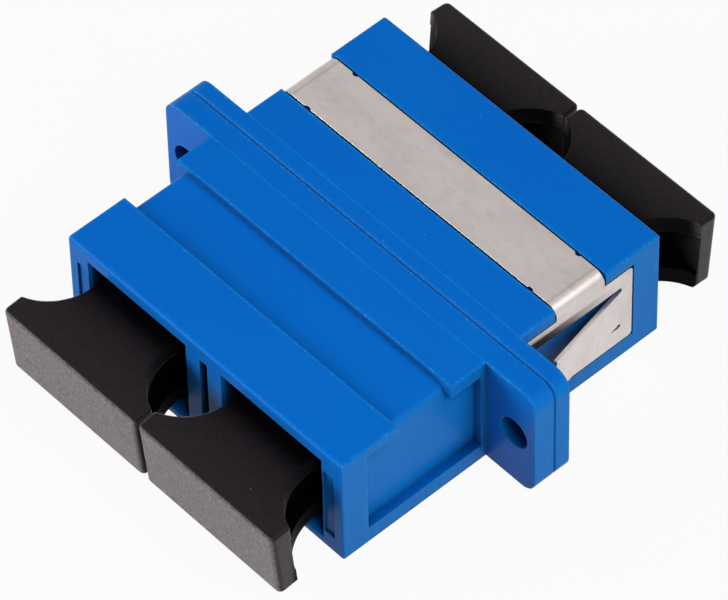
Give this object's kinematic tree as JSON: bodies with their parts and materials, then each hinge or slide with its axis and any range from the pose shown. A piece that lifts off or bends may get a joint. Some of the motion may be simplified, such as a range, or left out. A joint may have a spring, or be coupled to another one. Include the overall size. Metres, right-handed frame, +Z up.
{
  "type": "duplex fibre optic adapter",
  "caption": "Flanged coupler that joins pairs of square push-pull fibre connectors end to end in a panel, with split sleeves, latch arms, a spring clip and pull-off dust caps.",
  "frame": {"origin": "midway between the two flange holes, on the rear face of the flange, where a panel seats", "axes": "+X along the row of channels, +Y along the optical axes towards the half with the spring clip, +Z up from the housing's plain bottom"},
  "size_m": [0.0348, 0.0386, 0.0094],
  "materials": {
    "housing": "satin blue moulded plastic",
    "spring_steel": "rolled stainless spring sheet",
    "latch": "ivory moulded plastic",
    "ceramic": "ground white ceramic",
    "cap": "fine-textured black moulded plastic"
  },
  "bodies": {
    "adapter": {"front_housing": "housing", "rear_housing": "housing", "spring_clip": "spring_steel", "front_left_latch": "latch", "front_right_latch": "latch", "rear_left_latch": "latch", "rear_right_latch": "latch", "left_sleeve": "ceramic", "right_sleeve": "ceramic"},
    "front_left_cap": {"front_left_cap": "cap"},
    "front_right_cap": {"front_right_cap": "cap"},
    "rear_left_cap": {"rear_left_cap": "cap"},
    "rear_right_cap": {"rear_right_cap": "cap"}
  },
  "joints": [
    {"name": "front_left_cap_pull", "type": "slide", "parent": "adapter", "child": "front_left_cap", "axis": [0, -1, 0], "range_m": [0, 0.01]},
    {"name": "front_right_cap_pull", "type": "slide", "parent": "adapter", "child": "front_right_cap", "axis": [0, -1, 0], "range_m": [0, 0.01]},
    {"name": "rear_left_cap_pull", "type": "slide", "parent": "adapter", "child": "rear_left_cap", "axis": [0, 1, 0], "range_m": [0, 0.01]},
    {"name": "rear_right_cap_pull", "type": "slide", "parent": "adapter", "child": "rear_right_cap", "axis": [0, 1, 0], "range_m": [0, 0.01]}
  ]
}
